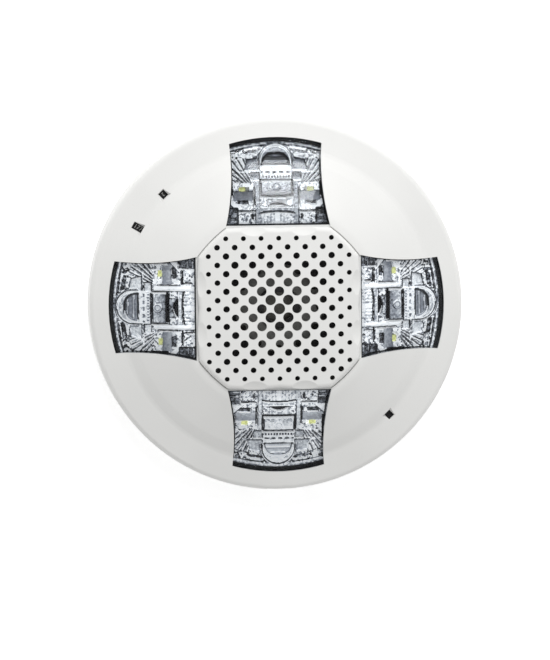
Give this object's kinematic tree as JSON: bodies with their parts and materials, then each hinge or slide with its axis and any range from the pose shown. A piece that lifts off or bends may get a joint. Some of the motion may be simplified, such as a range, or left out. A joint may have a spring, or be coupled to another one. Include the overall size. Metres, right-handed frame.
{
  "type": "horn strobe",
  "caption": "Round white ceiling horn strobe: perforated sounder grille, clear strobe lenses in a cross, setting windows in the cover, and a hook-on mounting plate.",
  "frame": {"origin": "centre of the mounting plate's rear face, which meets the ceiling or wall", "axes": "+Z out of the face through the grille, +Y towards the hooks, -Y towards the release slot, +X to the right seen from the front with the hooks up"},
  "size_m": [0.1726, 0.1727, 0.038],
  "materials": {
    "black_gauze": "woven black gauze",
    "black_plastic": "black moulded",
    "brass": "plain",
    "capacitor_sleeve": "shrink sleeve",
    "chip_black": "epoxy package",
    "clear_lens": "clear moulded lens",
    "copper_coil": "enamelled winding on a ferrite core",
    "dial_black": "black with pale figures",
    "green_board": "green solder mask",
    "led_yellow": "yellow phosphor",
    "reflector_silver": "bright metallised plastic",
    "steel": "zinc plated",
    "terminal_black": "black moulded",
    "white_board": "white solder mask",
    "white_plastic": "satin moulded white"
  },
  "bodies": {
    "mounting_plate": {"mounting_plate": "white_plastic", "terminal_block": "terminal_black", "terminal_clamps": "steel", "terminal_screws": "steel", "contact_blades": "brass"},
    "sounder_head": {"board_chips": "chip_black", "board_screws": "steel", "capacitors": "capacitor_sleeve", "coil": "copper_coil", "contact_pins": "brass", "cover_screws": "steel", "dust_screen": "black_gauze", "front_cover": "white_plastic", "inner_frame": "black_plastic", "led_board_bottom": "white_board", "led_board_left": "white_board", "led_board_right": "white_board", "led_board_top": "white_board", "leds_bottom": "led_yellow", "leds_left": "led_yellow", "leds_right": "led_yellow", "leds_top": "led_yellow", "lens_bottom": "clear_lens", "lens_left": "clear_lens", "lens_right": "clear_lens", "lens_top": "clear_lens", "main_board": "green_board", "rear_housing": "white_plastic", "reflector_bottom": "reflector_silver", "reflector_left": "reflector_silver", "reflector_right": "reflector_silver", "reflector_top": "reflector_silver", "selector_switches": "black_plastic", "sounder_cap": "black_plastic", "sounder_case": "black_plastic", "sounder_disc": "brass", "speaker_grille": "white_plastic"},
    "candela_dial": {"candela_dial": "dial_black"},
    "volume_dial": {"volume_dial": "dial_black"},
    "tone_dial": {"tone_dial": "dial_black"}
  },
  "joints": [
    {"name": "head_swing", "type": "hinge", "parent": "mounting_plate", "child": "sounder_head", "pos_m": [0, 0.079, 0.003], "axis": [-1, 0, 0], "range_deg": [0, 8]},
    {"name": "candela_select", "type": "hinge", "parent": "sounder_head", "child": "candela_dial", "pos_m": [-0.05885, 0.03397, 0.012], "axis": [0, 0, 1], "range_deg": [0, 270]},
    {"name": "volume_select", "type": "hinge", "parent": "sounder_head", "child": "volume_dial", "pos_m": [-0.04805, 0.04805, 0.012], "axis": [0, 0, 1], "range_deg": [0, 90]},
    {"name": "tone_select", "type": "hinge", "parent": "sounder_head", "child": "tone_dial", "pos_m": [0.04805, -0.04805, 0.012], "axis": [0, 0, 1], "range_deg": [0, 135]}
  ]
}
